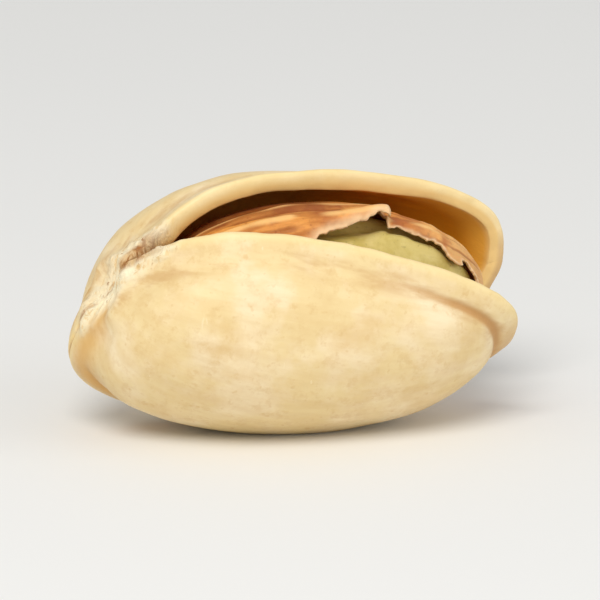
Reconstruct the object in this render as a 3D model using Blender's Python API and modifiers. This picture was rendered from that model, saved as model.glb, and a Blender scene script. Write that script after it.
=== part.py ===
"""A pistachio in its shell, lying on a table as it would come to rest after being put down.

The woody shell grew as one piece. It has split along its seam, from just above the stem end, along the
whole upper side, round the tip and part of the way back underneath, so its two halves gape like a beak
and still hold together at the stem end and along the rest of the lower seam. The kernel lies inside: one
seed of two lobes, in a thin papery skin that has torn open on the side that shows through the gap.

Axes of the finished nut: +X runs from the stem end to the tip, +Z is up, and the front half of the
shell faces -Y. The origin is on the table, under the middle of the nut. Everything is in metres.
"""

import math

import bmesh
import bpy
from mathutils import Matrix, Vector

MM = 0.001

# Shell, measured closed: the seam lies in the XZ plane of the nut before it leans
SHELL_LENGTH = 19.4 * MM
SHELL_HALF_HEIGHT = 6.0 * MM
SHELL_HALF_THICKNESS = 5.4 * MM
WALL_BODY = 0.80 * MM
WALL_STEM = 1.40 * MM
WALL_STEM_REACH = 2.2 * MM
WALL_TIP = 0.55 * MM
WALL_TIP_REACH = 4.5 * MM
LINING_RELIEF = 0.50

# How quickly the outline fills out from each end: below 1 is blunt, above 1 is pointed
STEM_POWER_TOP = 0.95
STEM_POWER_SIDE = 0.66
STEM_POWER_BOTTOM = 0.50
TIP_POWER_TOP = 0.76
TIP_POWER_SIDE = 0.98
TIP_POWER_BOTTOM = 1.20
BELLY_POWER = 0.95
STEM_HEAVINESS = 0.16
STEM_RISE = 1.0 * MM
STEM_SLANT = 0.40
TIP_RISE = 1.6 * MM

# The raised line along the seam, with the shallow hollow beside it
LIP_HEIGHT = 0.30 * MM
LIP_HEIGHT_AT_TIP = 0.50 * MM
LIP_HALF_WIDTH = 0.75 * MM
HOLLOW_DEPTH = 0.16 * MM
HOLLOW_FROM_SEAM = 1.45 * MM
HOLLOW_HALF_WIDTH = 0.55 * MM
LIP_START = math.radians(22)

# The scar where the stem broke off: a low ring round a shallow dish
SCAR_RADIUS = 1.55 * MM
SCAR_RING_HEIGHT = 0.22 * MM
SCAR_RING_WIDTH = 0.45 * MM
SCAR_DISH_RADIUS = 1.1 * MM
SCAR_DISH_DEPTH = 0.30 * MM

# Where the split stops, counted in rings of the shell from the stem end, and how far the halves swing.
# The edges part sharply at the end of the split, while the bellies lean out over a longer reach
RINGS = 36
SEGMENTS = 48
SEAM_CROWDING = 0.60
SPLIT_END_TOP_RING = 2
SPLIT_END_BOTTOM_RING = 23
GAPE_SLOPE = 0.37
GAPE_EASING = 1.3 * MM
BELLY_EASING = 2.5 * MM
SEAM_REACH = 2.0 * MM

# The back half is a little fuller at its tip than the front half
BACK_TIP_GROWTH = Vector((0.72, 0.0, 0.40)) * MM
BACK_TIP_START = 3.0 * MM

# Kernel in its skin, with its own middle and turn inside the shell
KERNEL_LENGTH = 16.0 * MM
KERNEL_HALF_HEIGHT = 4.6 * MM
KERNEL_HALF_THICKNESS = 4.1 * MM
KERNEL_MIDDLE = Vector((0.95, 0.20, 1.10)) * MM
KERNEL_TURN = math.radians(6)
KERNEL_TIP_UP = math.radians(4)
KERNEL_STEM_POWER = 0.86
KERNEL_TIP_POWER = 1.05
KERNEL_STEM_HEAVINESS = 0.08
KERNEL_RINGS = 28
KERNEL_SEGMENTS = 28
SKIN_THICKNESS = 0.30 * MM
SKIN_GAP = 0.38 * MM
RIDGE_HEIGHT = 0.28 * MM
RIDGE_HALF_ANGLE = math.radians(15)
LOBE_GROOVE_DEPTH = 0.45 * MM
LOBE_GROOVE_HALF_ANGLE = math.radians(9)

# Slight waves round the kernel: how many, how high as a share of its radius, and where they start
KERNEL_WAVES = ((3, 0.022, 0.5), (5, 0.012, -0.9))

# The tear in the skin: along the kernel, and round it from its top line towards the front, in mm
TEAR_OUTLINE = (
    (2.3, -0.8), (2.0, -0.1), (1.3, 0.3), (0.5, 0.6), (-0.3, 0.7), (-1.1, 1.0), (-1.8, 2.0),
    (-1.0, 3.3), (1.5, 4.2), (4.5, 3.9), (6.2, 2.9), (6.4, 2.0), (6.0, 1.5), (5.4, 1.1),
    (4.8, 0.5), (4.0, 0.6), (3.3, 0.3), (2.6, 0.3), (2.6, -0.3),
)
TEAR_TILT = math.radians(28)
TEAR_CUT_DEPTH = 3.6 * MM
TEAR_CUT_CLEAR = 1.6 * MM

# The torn edge nearest the stem curls up into a small flap
FLAP_MIDDLE = Vector((1.9, -0.2)) * MM
FLAP_LIFT = 0.40 * MM
FLAP_REACH = 1.6 * MM
FLAP_END = 2.45 * MM
FLAP_END_SOFTNESS = 0.10 * MM

# How the nut lies: leaning forwards about its length, tip down a little, on a small flat
LEAN = math.radians(24)
TIP_DROP = math.radians(6.5)
REST_HEIGHT = 5.30 * MM
REST_SHIFT = Vector((-0.0265, 0.2865)) * MM

SHARP_ANGLE = math.radians(40)
NEARLY_ZERO = 1e-6
MERGE_DISTANCE = 0.001 * MM

SHELL_COLOUR = (0.80, 0.62, 0.36, 1.0)
KERNEL_COLOUR = (0.38, 0.40, 0.14, 1.0)
SKIN_COLOUR = (0.45, 0.22, 0.12, 1.0)


def clear_scene():
    for obj in list(bpy.data.objects):
        bpy.data.objects.remove(obj, do_unlink=True)


def new_collection(name):
    collection = bpy.data.collections.new(name)
    bpy.context.scene.collection.children.link(collection)
    return collection


def material(name, colour, roughness):
    made = bpy.data.materials.new(name)
    made.use_nodes = True
    surface = made.node_tree.nodes["Principled BSDF"]
    surface.inputs["Base Color"].default_value = colour
    surface.inputs["Roughness"].default_value = roughness
    surface.inputs["Metallic"].default_value = 0.0
    return made


def bump(value, middle, half_width):
    """A smooth hump of height 1 at middle."""
    return math.exp(-(((value - middle) / half_width) ** 2))


def mix(a, b, share):
    return a + (b - a) * share


def by_side(around, top, side, bottom):
    """A value that goes smoothly from top through side to bottom on the way round the nut."""
    up = math.cos(around)
    return mix(side, top if up > 0 else bottom, abs(up) ** 3)


def sphere(segments, rings):
    """A unit sphere as a bmesh, with its poles on Z."""
    bm = bmesh.new()
    bmesh.ops.create_uvsphere(bm, u_segments=segments, v_segments=rings, radius=1.0)
    return bm


def sphere_angles(co):
    """The angle from the stem pole, and the angle round from the top towards the front, of a point on the
    unit sphere. The stem pole is at its -Z, the top at its +X and the front at its +Y."""
    polar = math.acos(max(-1.0, min(1.0, -co.z)))
    return polar, math.atan2(co.y, co.x)


def crowd_to_seam(around):
    """Moves the meridians closer together near the seam, where the lip needs them."""
    return around - SEAM_CROWDING * math.sin(2 * around) / 2


def seam_relief(from_seam, to_tip):
    """How far the lip stands up, or the hollow beside it sinks, at this distance from the seam."""
    lip = mix(LIP_HEIGHT, LIP_HEIGHT_AT_TIP, to_tip**3) * bump(from_seam, 0, LIP_HALF_WIDTH)
    return lip - HOLLOW_DEPTH * bump(from_seam, HOLLOW_FROM_SEAM, HOLLOW_HALF_WIDTH)


def scar_relief(from_middle):
    """How far the scar's ring stands out of the stem end, or its dish sinks into it."""
    ring = SCAR_RING_HEIGHT * bump(from_middle, SCAR_RADIUS, SCAR_RING_WIDTH)
    return ring - SCAR_DISH_DEPTH * bump(from_middle, 0, SCAR_DISH_RADIUS)


def closed_shell_point(polar, around, relief=1.0, scar=1.0):
    """A point of the shell's outside before it split, with the seam in the XZ plane. relief and scar are
    the shares of the lip and of the scar that it shows."""
    to_tip = (1 - math.cos(polar)) / 2
    stem_power = by_side(around, STEM_POWER_TOP, STEM_POWER_SIDE, STEM_POWER_BOTTOM)
    tip_power = by_side(around, TIP_POWER_TOP, TIP_POWER_SIDE, TIP_POWER_BOTTOM)
    girth = max(0.0, math.sin(polar)) ** mix(stem_power, tip_power, to_tip)
    girth *= 1 + STEM_HEAVINESS * math.cos(polar)
    side = math.sin(around)
    x = -SHELL_LENGTH / 2 * math.cos(polar)
    y = -SHELL_HALF_THICKNESS * girth * math.copysign(abs(side) ** BELLY_POWER, side)
    z = SHELL_HALF_HEIGHT * girth * math.cos(around)
    across = Vector((x * (2 * SHELL_HALF_HEIGHT / SHELL_LENGTH) ** 2, z))
    if across.length > 0:
        across.normalize()
    raised = relief * seam_relief(abs(y), to_tip) * (1 - bump(polar, 0, LIP_START))
    if to_tip < 0.5:
        x -= scar * scar_relief(math.hypot(y, z))
    to_stem = (1 - to_tip) ** 3
    x += raised * across.x + STEM_SLANT * z * to_stem
    z += raised * across.y + TIP_RISE * to_tip**2 + STEM_RISE * to_stem
    return Vector((x, y, z))


def hinge():
    """The line in the seam's plane that the halves swing about: a point on it and its direction towards
    the open side, as (x, z)."""
    top = closed_shell_point(math.pi * SPLIT_END_TOP_RING / RINGS, 0.0)
    bottom = closed_shell_point(math.pi * SPLIT_END_BOTTOM_RING / RINGS, math.pi)
    along = Vector((bottom.x - top.x, bottom.z - top.z)).normalized()
    return Vector((top.x, top.z)), Vector((-along.y, along.x))


def past_hinge(point, start, open_side):
    return (point.x - start.x) * open_side.x + (point.z - start.y) * open_side.y


def swing_open(point, side, start, open_side):
    """Where a point of the closed shell lies once its half has swung out. side is 1 for the front half,
    -1 for the back half and 0 where they still join."""
    past = past_hinge(point, start, open_side)
    depth = abs(point.y)
    beyond = max(0.0, past)
    at_seam = beyond - GAPE_EASING * (1 - math.exp(-beyond / GAPE_EASING))
    softened = (past - GAPE_EASING) / BELLY_EASING
    at_belly = BELLY_EASING * math.log1p(math.exp(softened))
    eased = mix(at_belly, at_seam, bump(depth, 0, SEAM_REACH))
    turn = math.atan(GAPE_SLOPE / (1 + math.exp(-softened)))
    out = depth * math.cos(turn) + GAPE_SLOPE * eased
    back = depth * math.sin(turn) + (1 - math.cos(math.atan(GAPE_SLOPE))) * eased
    moved = Vector((point.x - back * open_side.x, -side * out, point.z - back * open_side.y))
    if side < 0:
        towards_tip = max(0.0, 0.5 + point.x / SHELL_LENGTH) ** 3
        moved += BACK_TIP_GROWTH * towards_tip * (1 - bump(beyond, 0, BACK_TIP_START))
    return moved


def split_seam(bm, start, open_side):
    """Parts the two halves along the seam, on the open side of the hinge."""
    small = NEARLY_ZERO * MM

    def on_split(vert):
        return abs(vert.co.y) < small and past_hinge(vert.co, start, open_side) > -small

    seam = [edge for edge in bm.edges if all(on_split(vert) for vert in edge.verts)]
    bmesh.ops.split_edges(bm, edges=seam)


def half_of(vert):
    """1 if this vertex belongs to the front half, -1 for the back, 0 where the two still join."""
    return sum({1 if face.calc_center_median().y < 0 else -1 for face in vert.link_faces})


def on_seam(polar, around):
    return min(abs(math.sin(around)), abs(math.sin(polar))) < NEARLY_ZERO


def closed_sheet(relief, scar):
    """The closed shell as a sheet, with its seam exactly in its plane."""
    bm = sphere(SEGMENTS, RINGS)
    for vert in bm.verts:
        polar, around = sphere_angles(vert.co)
        vert.co = closed_shell_point(polar, crowd_to_seam(around), relief, scar)
        if on_seam(polar, around):
            vert.co.y = 0.0
    bm.normal_update()
    return bm


def lining_points():
    """The inside of the closed shell, in the order of its sheet's vertices. The wall is thicker round the
    stem and under the lip, and thinner towards the tip."""
    bm = closed_sheet(LINING_RELIEF, 0.0)
    points = []
    for vert in bm.verts:
        wall = WALL_BODY + (WALL_STEM - WALL_BODY) * bump(vert.co.x, -SHELL_LENGTH / 2, WALL_STEM_REACH)
        wall += (WALL_TIP - WALL_BODY) * bump(vert.co.x, SHELL_LENGTH / 2, WALL_TIP_REACH)
        point = vert.co - vert.normal * wall
        if vert.co.y == 0.0:
            point.y = 0.0
        points.append(point)
    bm.free()
    return points


def shell_mesh():
    """The shell split along its seam and swung open. Each vertex carries the place on the lining that its
    copy on the inside of the wall takes."""
    bm = closed_sheet(1.0, 1.0)
    inside = bm.verts.layers.float_vector.new("inside")
    for vert, point in zip(bm.verts, lining_points()):
        vert[inside] = point
    start, open_side = hinge()
    split_seam(bm, start, open_side)
    for vert, side in [(vert, half_of(vert)) for vert in bm.verts]:
        vert.co = swing_open(vert.co, side, start, open_side)
        vert[inside] = swing_open(vert[inside], side, start, open_side)
    wall = bmesh.ops.solidify(bm, geom=list(bm.faces), thickness=WALL_BODY)
    for vert in wall["geom"]:
        if isinstance(vert, bmesh.types.BMVert):
            vert.co = vert[inside]
    mesh = bpy.data.meshes.new("shell")
    bm.to_mesh(mesh)
    bm.free()
    mesh.attributes.remove(mesh.attributes["inside"])
    return mesh


def place_in_nut(obj, collection, nut):
    collection.objects.link(obj)
    obj.parent = nut
    return obj


def make_shell(collection, nut, finish):
    """The two halves with their wall, still one piece round the stem end."""
    mesh = shell_mesh()
    mesh.materials.append(finish)
    return place_in_nut(bpy.data.objects.new("shell", mesh), collection, nut)


def kernel_point(polar, around, inset):
    """A point of the kernel, inset from the outside of its skin, about the kernel's own middle."""
    half_length = KERNEL_LENGTH / 2 - inset
    to_tip = (1 - math.cos(polar)) / 2
    girth = max(0.0, math.sin(polar)) ** mix(KERNEL_STEM_POWER, KERNEL_TIP_POWER, to_tip)
    waves = sum(height * math.cos(count * around + start) for count, height, start in KERNEL_WAVES)
    radial = girth * (1 + KERNEL_STEM_HEAVINESS * math.cos(polar)) * (1 + waves)
    y = -(KERNEL_HALF_THICKNESS - inset) * radial * math.sin(around)
    z = (KERNEL_HALF_HEIGHT - inset) * radial * math.cos(around)
    return Vector((-half_length * math.cos(polar), y, z))


def raise_from_axis(point, height):
    from_axis = math.hypot(point.y, point.z)
    if from_axis == 0:
        return point
    grow = 1 + height / from_axis
    return Vector((point.x, point.y * grow, point.z * grow))


def skin_point(polar, around):
    """The outside of the skin: a ridge runs along the top, and the flap beside the tear is lifted."""
    point = kernel_point(polar, around, 0.0)
    ridge = RIDGE_HEIGHT * bump(around, 0, RIDGE_HALF_ANGLE) * math.sin(polar)
    round_from_top = around * KERNEL_HALF_HEIGHT
    from_flap = (Vector((point.x, round_from_top)) - FLAP_MIDDLE).length
    before_end = 1 / (1 + math.exp((point.x - FLAP_END) / FLAP_END_SOFTNESS))
    lift = FLAP_LIFT * bump(from_flap, 0, FLAP_REACH) * before_end
    return raise_from_axis(point, ridge + lift)


def flesh_point(polar, around):
    """The seed inside its skin, with a groove between its two lobes."""
    point = kernel_point(polar, around, SKIN_THICKNESS + SKIN_GAP)
    to_seam = min(abs(around), math.pi - abs(around))
    groove = LOBE_GROOVE_DEPTH * bump(to_seam, 0, LOBE_GROOVE_HALF_ANGLE) * math.sin(polar)
    return raise_from_axis(point, -groove)


def kernel_turn():
    """How the kernel sits askew in the shell."""
    return Matrix.Rotation(-KERNEL_TIP_UP, 4, "Y") @ Matrix.Rotation(KERNEL_TURN, 4, "X")


def kernel_object(name, point_at, collection, nut, finish):
    bm = sphere(KERNEL_SEGMENTS, KERNEL_RINGS)
    for vert in bm.verts:
        vert.co = point_at(*sphere_angles(vert.co))
    bmesh.ops.recalc_face_normals(bm, faces=bm.faces)
    mesh = bpy.data.meshes.new(name)
    bm.to_mesh(mesh)
    bm.free()
    mesh.materials.append(finish)
    kernel = place_in_nut(bpy.data.objects.new(name, mesh), collection, nut)
    kernel.location = KERNEL_MIDDLE
    kernel.rotation_euler = kernel_turn().to_euler()
    return kernel


def drawn_prism(name, outline, depth, collection):
    """A closed prism with this outline in its XY plane, and half of its depth on each side of it."""
    curve = bpy.data.curves.new(name, "CURVE")
    curve.dimensions = "2D"
    curve.fill_mode = "BOTH"
    curve.extrude = depth / 2
    spline = curve.splines.new("POLY")
    spline.points.add(len(outline) - 1)
    for point, (x, y) in zip(spline.points, outline):
        point.co = (x, y, 0.0, 1.0)
    spline.use_cyclic_u = True
    drawn = bpy.data.objects.new(name + "_curve", curve)
    collection.objects.link(drawn)
    bpy.context.view_layer.update()
    graph = bpy.context.evaluated_depsgraph_get()
    mesh = bpy.data.meshes.new_from_object(drawn.evaluated_get(graph))
    bpy.data.objects.remove(drawn)
    bm = bmesh.new()
    bm.from_mesh(mesh)
    bmesh.ops.remove_doubles(bm, verts=bm.verts, dist=MERGE_DISTANCE)
    bmesh.ops.recalc_face_normals(bm, faces=bm.faces)
    bm.to_mesh(mesh)
    bm.free()
    prism = bpy.data.objects.new(name, mesh)
    collection.objects.link(prism)
    return prism


def tear_cutter(collection, nut):
    """A prism with the tear's ragged outline, standing out through the skin. Its own Y runs round the
    kernel, from the top towards the front, and its Z stands out of the kernel."""
    tilted_round = TEAR_TILT * KERNEL_HALF_HEIGHT
    outline = [(along * MM, around * MM - tilted_round) for along, around in TEAR_OUTLINE]
    cutter = drawn_prism("tear_cutter", outline, TEAR_CUT_DEPTH + TEAR_CUT_CLEAR, collection)
    cutter.parent = nut
    along = Vector((1, 0, 0))
    out = Vector((0, -math.sin(TEAR_TILT), math.cos(TEAR_TILT)))
    frontwards = Vector((0, -math.cos(TEAR_TILT), -math.sin(TEAR_TILT)))
    turn = Matrix((along, frontwards, out)).transposed().to_4x4()
    middle = Vector((0, out.y * KERNEL_HALF_THICKNESS, out.z * KERNEL_HALF_HEIGHT))
    middle -= out * (TEAR_CUT_DEPTH - TEAR_CUT_CLEAR) / 2
    kernel_frame = Matrix.Translation(KERNEL_MIDDLE) @ kernel_turn()
    cutter.matrix_local = kernel_frame @ Matrix.Translation(middle) @ turn
    as_helper(cutter)
    return cutter


def as_helper(obj):
    obj.hide_render = True
    obj.display_type = "WIRE"


def make_skin(collection, cutters, nut, finish):
    skin = kernel_object("kernel_skin", skin_point, collection, nut, finish)
    solid = skin.modifiers.new("thickness", "SOLIDIFY")
    solid.thickness = SKIN_THICKNESS
    solid.offset = -1.0
    cut(skin, tear_cutter(cutters, nut), "tear")
    return skin


def cut(obj, cutter, name):
    boolean = obj.modifiers.new(name, "BOOLEAN")
    boolean.operation = "DIFFERENCE"
    boolean.solver = "EXACT"
    boolean.object = cutter


def table_cutter(collection):
    """A block with its top at the table, which leaves the small flat that the nut rests on."""
    side = 2 * SHELL_LENGTH
    bpy.ops.mesh.primitive_cube_add(size=side, location=(0, 0, -side / 2))
    block = bpy.context.active_object
    block.name = "table_cutter"
    for holder in list(block.users_collection):
        holder.objects.unlink(block)
    collection.objects.link(block)
    as_helper(block)
    return block


def smooth(obj):
    obj.data.shade_smooth()
    obj.data.set_sharp_from_angle(angle=SHARP_ANGLE)


def main():
    clear_scene()
    parts = new_collection("pistachio")
    cutters = new_collection("cutters")
    nut = bpy.data.objects.new("nut", None)
    parts.objects.link(nut)
    nut.location = (REST_SHIFT.x, REST_SHIFT.y, REST_HEIGHT)
    lay = Matrix.Rotation(TIP_DROP, 4, "Y") @ Matrix.Rotation(LEAN, 4, "X")
    nut.rotation_euler = lay.to_euler()
    shell = make_shell(parts, nut, material("shell", SHELL_COLOUR, 0.55))
    cut(shell, table_cutter(cutters), "rest")
    kernel = kernel_object("kernel", flesh_point, parts, nut, material("kernel", KERNEL_COLOUR, 0.6))
    skin = make_skin(parts, cutters, nut, material("kernel_skin", SKIN_COLOUR, 0.7))
    for obj in (shell, kernel, skin):
        smooth(obj)


main()
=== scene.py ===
"""A pistachio in its shell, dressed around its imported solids.

The woody shell, the seed and the papery skin are each one piece, laid out from the same measures as the
solids and then given the finer relief and the finishes that the solids leave out. +X runs from the stem
end to the tip, +Z is up, and the front half of the shell faces -Y. Everything is in metres.
"""

import math

import bpy
import numpy as np
from mathutils import Matrix, Vector, noise


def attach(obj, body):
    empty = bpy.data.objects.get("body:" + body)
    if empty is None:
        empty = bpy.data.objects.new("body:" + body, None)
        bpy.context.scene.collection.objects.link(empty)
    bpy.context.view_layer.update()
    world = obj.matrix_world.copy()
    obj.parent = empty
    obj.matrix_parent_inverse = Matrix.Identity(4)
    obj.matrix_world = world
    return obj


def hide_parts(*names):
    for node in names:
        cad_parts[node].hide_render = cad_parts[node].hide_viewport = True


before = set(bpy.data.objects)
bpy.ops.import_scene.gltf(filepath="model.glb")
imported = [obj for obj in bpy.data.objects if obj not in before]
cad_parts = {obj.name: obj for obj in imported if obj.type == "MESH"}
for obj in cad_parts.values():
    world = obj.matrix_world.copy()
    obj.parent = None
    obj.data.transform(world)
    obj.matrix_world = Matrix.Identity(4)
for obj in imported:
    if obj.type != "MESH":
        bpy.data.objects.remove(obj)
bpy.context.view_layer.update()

bl_info = {
    "name": "Pistachio in shell",
    "version": (1, 0, 0),
    "blender": (4, 5, 0),
    "location": "3D View > Sidebar > Pistachio",
    "description": "Makes a split pistachio with its seed and skin, and a plain stage for it",
    "category": "Object",
}

BODY = "root"
MM = 0.001

# Shell, measured closed: the seam lies in the XZ plane of the nut before it leans
SHELL_LENGTH = 19.4
SHELL_HALF_HEIGHT = 6.0
SHELL_HALF_THICKNESS = 5.4
WALL_BODY = 0.80
WALL_STEM = 1.40
WALL_STEM_REACH = 2.2
WALL_TIP = 0.55
WALL_TIP_REACH = 4.5
LINING_RELIEF = 0.50
STEM_POWERS = (0.95, 0.66, 0.50)
TIP_POWERS = (0.76, 0.98, 1.20)
BELLY_POWER = 0.95
STEM_HEAVINESS = 0.16
STEM_RISE = 1.0
STEM_SLANT = 0.40
TIP_RISE = 1.6
LIP_HEIGHT = 0.30
LIP_HEIGHT_AT_TIP = 0.50
LIP_HALF_WIDTH = 0.75
HOLLOW_DEPTH = 0.16
HOLLOW_FROM_SEAM = 1.45
HOLLOW_HALF_WIDTH = 0.55
LIP_START = math.radians(22)
SCAR_RADIUS = 1.55
SCAR_RING_HEIGHT = 0.22
SCAR_RING_WIDTH = 0.45
SCAR_DISH_RADIUS = 1.1
SCAR_DISH_DEPTH = 0.30
SEAM_CROWDING = 0.60
SPLIT_END_TOP = math.radians(10)
SPLIT_END_BOTTOM = math.radians(115)
GAPE_SLOPE = 0.37
GAPE_EASING = 1.3
BELLY_EASING = 2.5
SEAM_REACH = 2.0
BACK_TIP_GROWTH = (0.72, 0.0, 0.40)
BACK_TIP_START = 3.0

# Kernel in its skin
KERNEL_LENGTH = 16.0
KERNEL_HALF_HEIGHT = 4.6
KERNEL_HALF_THICKNESS = 4.1
KERNEL_MIDDLE = Vector((0.95, 0.20, 1.10))
KERNEL_TURN = math.radians(6)
KERNEL_TIP_UP = math.radians(4)
KERNEL_STEM_POWER = 0.86
KERNEL_TIP_POWER = 1.05
KERNEL_STEM_HEAVINESS = 0.08
KERNEL_WAVES = ((3, 0.022, 0.5), (5, 0.012, -0.9))
RIDGE_HEIGHT = 0.28
RIDGE_HALF_ANGLE = math.radians(15)
LOBE_GROOVE_DEPTH = 0.45
LOBE_GROOVE_HALF_ANGLE = math.radians(9)
FLESH_INSET = 0.55
FLESH_SWELLING = 0.20

# The tear in the skin: along the kernel, and round it from its top line towards the front. A slit goes on
# from its top over the kernel, and the torn end beside the slit stands up as a flap
TEAR_OUTLINE = (
    (2.36, 0.52), (2.36, 0.30), (2.1, 0.28), (1.75, 0.36), (1.3, 0.48), (0.8, 0.56), (0.1, 0.72),
    (-0.6, 0.84), (-1.2, 1.05), (-1.8, 2.0), (-1.0, 3.3), (1.5, 4.2), (4.5, 4.2), (6.6, 3.9), (7.35, 3.1),
    (7.25, 2.3), (6.95, 1.8), (6.75, 1.35), (6.4, 1.3), (6.3, 1.75), (6.0, 1.75), (5.5, 1.45), (5.25, 0.95),
    (4.8, 0.62), (4.3, 0.66), (3.8, 0.58),
    (3.3, 0.38), (2.8, 0.46),
)
SLIVER_SHARE = 0.12
SLIT_ALONG = 2.36
SLIT_FROM = -2.3
SLIT_TO = 0.6
SLIT_MIDDLE = -0.9
FLAP_START = -0.4
FLAP_ROUND = -0.1
FLAP_HALF_WIDTH = 1.15
FLAP_LIFT = 0.52
FLAP_EDGE_LIFT = 0.28
LOBE_EDGE_LIFT = 0.20

# Folds along the skin: where round it from the top, how high, how wide, and a shift of their waver
SKIN_FOLDS = (
    (-0.05, 0.15, 0.26, 1.0), (0.62, -0.14, 0.20, 4.0), (-0.80, -0.14, 0.24, 9.0), (-1.45, 0.12, 0.22, 15.0),
    (-2.2, -0.12, 0.25, 21.0), (2.2, 0.12, 0.25, 27.0),
)

# How the nut lies
LEAN = math.radians(24)
TIP_DROP = math.radians(6.5)
REST_PLACE = Vector((-0.0265, 0.2865, 5.30))

# Fineness of the meshes. The shell's rings are a degree apart, so both ends of the split fall on one
SHELL_SEGMENTS = 240
SHELL_RINGS = 180
SKIN_SEGMENTS = 216
SKIN_RINGS = 200
FLESH_SEGMENTS = 144
FLESH_RINGS = 128


def screen(red, green, blue):
    """A colour given as it looks on a screen, from 0 to 255, in the linear values that a shader takes."""
    return tuple(
        (c / 255 / 12.92) if c / 255 <= 0.04045 else ((c / 255 + 0.055) / 1.055) ** 2.4 for c in (red, green, blue)
    )


# Values that a user would change


def colour_property(name, description, default):
    return bpy.props.FloatVectorProperty(
        name=name, description=description, subtype="COLOR", size=3, min=0.0, max=1.0, default=default
    )


class ShellLook(bpy.types.PropertyGroup):
    """Relief and colours of the woody shell."""

    lumps: bpy.props.FloatProperty(
        name="Lumps", description="How far the outside swells and sinks", default=0.11 * MM, min=0.0,
        max=0.4 * MM, precision=5, subtype="DISTANCE", unit="LENGTH",
    )
    grain: bpy.props.FloatProperty(
        name="Grain", description="Depth of the fine lengthwise lines", default=0.022 * MM, min=0.0,
        max=0.1 * MM, precision=5, subtype="DISTANCE", unit="LENGTH",
    )
    crease: bpy.props.FloatProperty(
        name="Crease", description="Depth of the crease beside the seam", default=0.24 * MM, min=0.0,
        max=0.3 * MM, precision=5, subtype="DISTANCE", unit="LENGTH",
    )
    rim_round: bpy.props.FloatProperty(
        name="Rim rounding", description="Radius along the edges of the split", default=0.30 * MM,
        min=0.0, max=0.38 * MM, precision=5, subtype="DISTANCE", unit="LENGTH",
    )
    outside: colour_property("Outside", "Main colour of the outside", screen(238, 213, 158))
    streak: colour_property("Streaks", "Darker streaks and blotches of the outside", screen(219, 182, 120))
    pale: colour_property("Pale patches", "Lightest patches and the rim", screen(248, 228, 188))
    rim: colour_property("Rim", "The edges of the split", screen(249, 224, 158))
    # Tan, the shell's tint, also laid as painted shade in its creases and hollows
    tan: colour_property("Tan", "The tint along the creases", screen(196, 146, 84))
    inside: colour_property("Inside", "The lining of the shell", screen(232, 148, 30))
    inside_deep: colour_property("Deep inside", "Darker streaks of the lining", screen(188, 100, 18))
    # Lighter lining at the stem end: painted light where the cavity is in deep shade
    lining_lit_at_stem: colour_property("Inside at the stem", "The lining at the stem end", screen(252, 168, 72))
    inside_tip: colour_property("Inside at the tip", "The lining at the tip", screen(200, 132, 18))
    inside_rim: colour_property("Inside the rim", "The lining next to its rim", screen(228, 172, 70))
    scar: colour_property("Scar", "Dry fibres where the stem broke off", screen(255, 242, 206))
    # Golden, for warm spots, also laid as painted shade in the scar's hollows and on the rim's inner edge
    golden: colour_property("Golden", "Warm spots of the scar and the end of the split", screen(226, 178, 98))
    cracks: colour_property("Cracks", "Small cracks and pits of the scar", screen(160, 98, 38))


class KernelLook(bpy.types.PropertyGroup):
    """Relief and colours of the seed and its skin."""

    wrinkles: bpy.props.FloatProperty(
        name="Wrinkles", description="Depth of the wrinkles in the skin", default=0.07 * MM, min=0.0,
        max=0.2 * MM, precision=5, subtype="DISTANCE", unit="LENGTH",
    )
    thickness: bpy.props.FloatProperty(
        name="Skin thickness", description="Thickness of the papery skin", default=0.12 * MM,
        min=0.05 * MM, max=0.3 * MM, precision=5, subtype="DISTANCE", unit="LENGTH",
    )
    flesh: colour_property("Flesh", "Main colour of the seed", screen(224, 205, 130))
    flesh_deep: colour_property("Deep flesh", "Yellower green of the seed", screen(202, 180, 94))
    skin: colour_property("Skin", "Main colour of the papery skin", screen(236, 160, 76))
    # Veins, also laid as painted shade in the hollows of the folds
    veins: colour_property("Veins", "Darker veins of the skin", screen(150, 78, 24))
    # Blush, also laid as painted shade in the hollows of the crumples
    blush: colour_property("Blush", "Redder blotches of the skin", screen(178, 100, 46))
    # The skin's darkest brown, also laid as painted shade towards the back and the stem end
    dusk: colour_property("Dusk", "The darkest brown of the skin, towards the back", screen(104, 46, 10))
    # Peach of painted light: the skin paler towards the tip, and the crests of its folds
    painted_light_peach: colour_property("Skin painted lighter", "Where the skin is palest, towards the tip", screen(254, 204, 130))
    torn: colour_property("Torn edge", "The pale inner side at the torn edge", screen(246, 208, 160))


class StageLook(bpy.types.PropertyGroup):
    """Camera, light and floor."""

    camera_round: bpy.props.FloatProperty(
        name="Camera round", description="Angle of the camera round the nut, from straight in front",
        default=math.radians(-17), subtype="ANGLE", unit="ROTATION",
    )
    camera_up: bpy.props.FloatProperty(
        name="Camera up", description="Angle of the camera above the table", default=math.radians(15),
        subtype="ANGLE", unit="ROTATION",
    )
    camera_away: bpy.props.FloatProperty(
        name="Camera away", description="Distance of the camera", default=0.40, min=0.05,
        subtype="DISTANCE", unit="LENGTH",
    )
    shown_width: bpy.props.FloatProperty(
        name="Width shown", description="Width of the picture at the nut", default=0.0285, min=0.01,
        subtype="DISTANCE", unit="LENGTH",
    )
    key_power: bpy.props.FloatProperty(
        name="Key light", description="Power of the main light", default=1.25, min=0.0, unit="POWER"
    )
    fill_power: bpy.props.FloatProperty(
        name="Fill light", description="Power of the light from the right", default=0.35, min=0.0,
        unit="POWER",
    )
    sky: bpy.props.FloatProperty(
        name="Surroundings", description="Brightness of the plain surroundings", default=0.5, min=0.0
    )
    floor: colour_property("Floor", "Colour of the table", screen(238, 238, 236))


# Arithmetic of the shapes, in millimetres


def bump(value, middle, half_width):
    """A smooth hump of height 1 at middle."""
    return np.exp(-(((value - middle) / half_width) ** 2))


def mix(a, b, share):
    return a + (b - a) * share


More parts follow.
